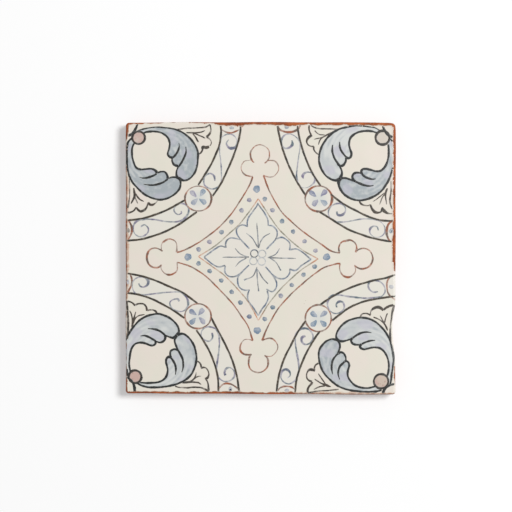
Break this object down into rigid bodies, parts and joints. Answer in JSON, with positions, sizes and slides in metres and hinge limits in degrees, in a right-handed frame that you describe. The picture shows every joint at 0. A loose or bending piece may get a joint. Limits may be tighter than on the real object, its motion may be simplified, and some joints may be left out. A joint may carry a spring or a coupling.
{
  "type": "glazed terracotta tile",
  "caption": "Square hand-made terracotta wall tile with a glazed, painted face and a flat back for bedding.",
  "frame": {"origin": "middle of the back, at the level that the tile lies on", "axes": "+Z out of the glazed face, +Y to the top of the painted face, +X to its right"},
  "size_m": [0.1502, 0.1514, 0.01],
  "materials": {
    "glaze": "semi-gloss",
    "terracotta": "matt",
    "brushwork": "semi-gloss"
  },
  "bodies": {
    "root": {"tile": "glaze"}
  },
  "joints": []
}
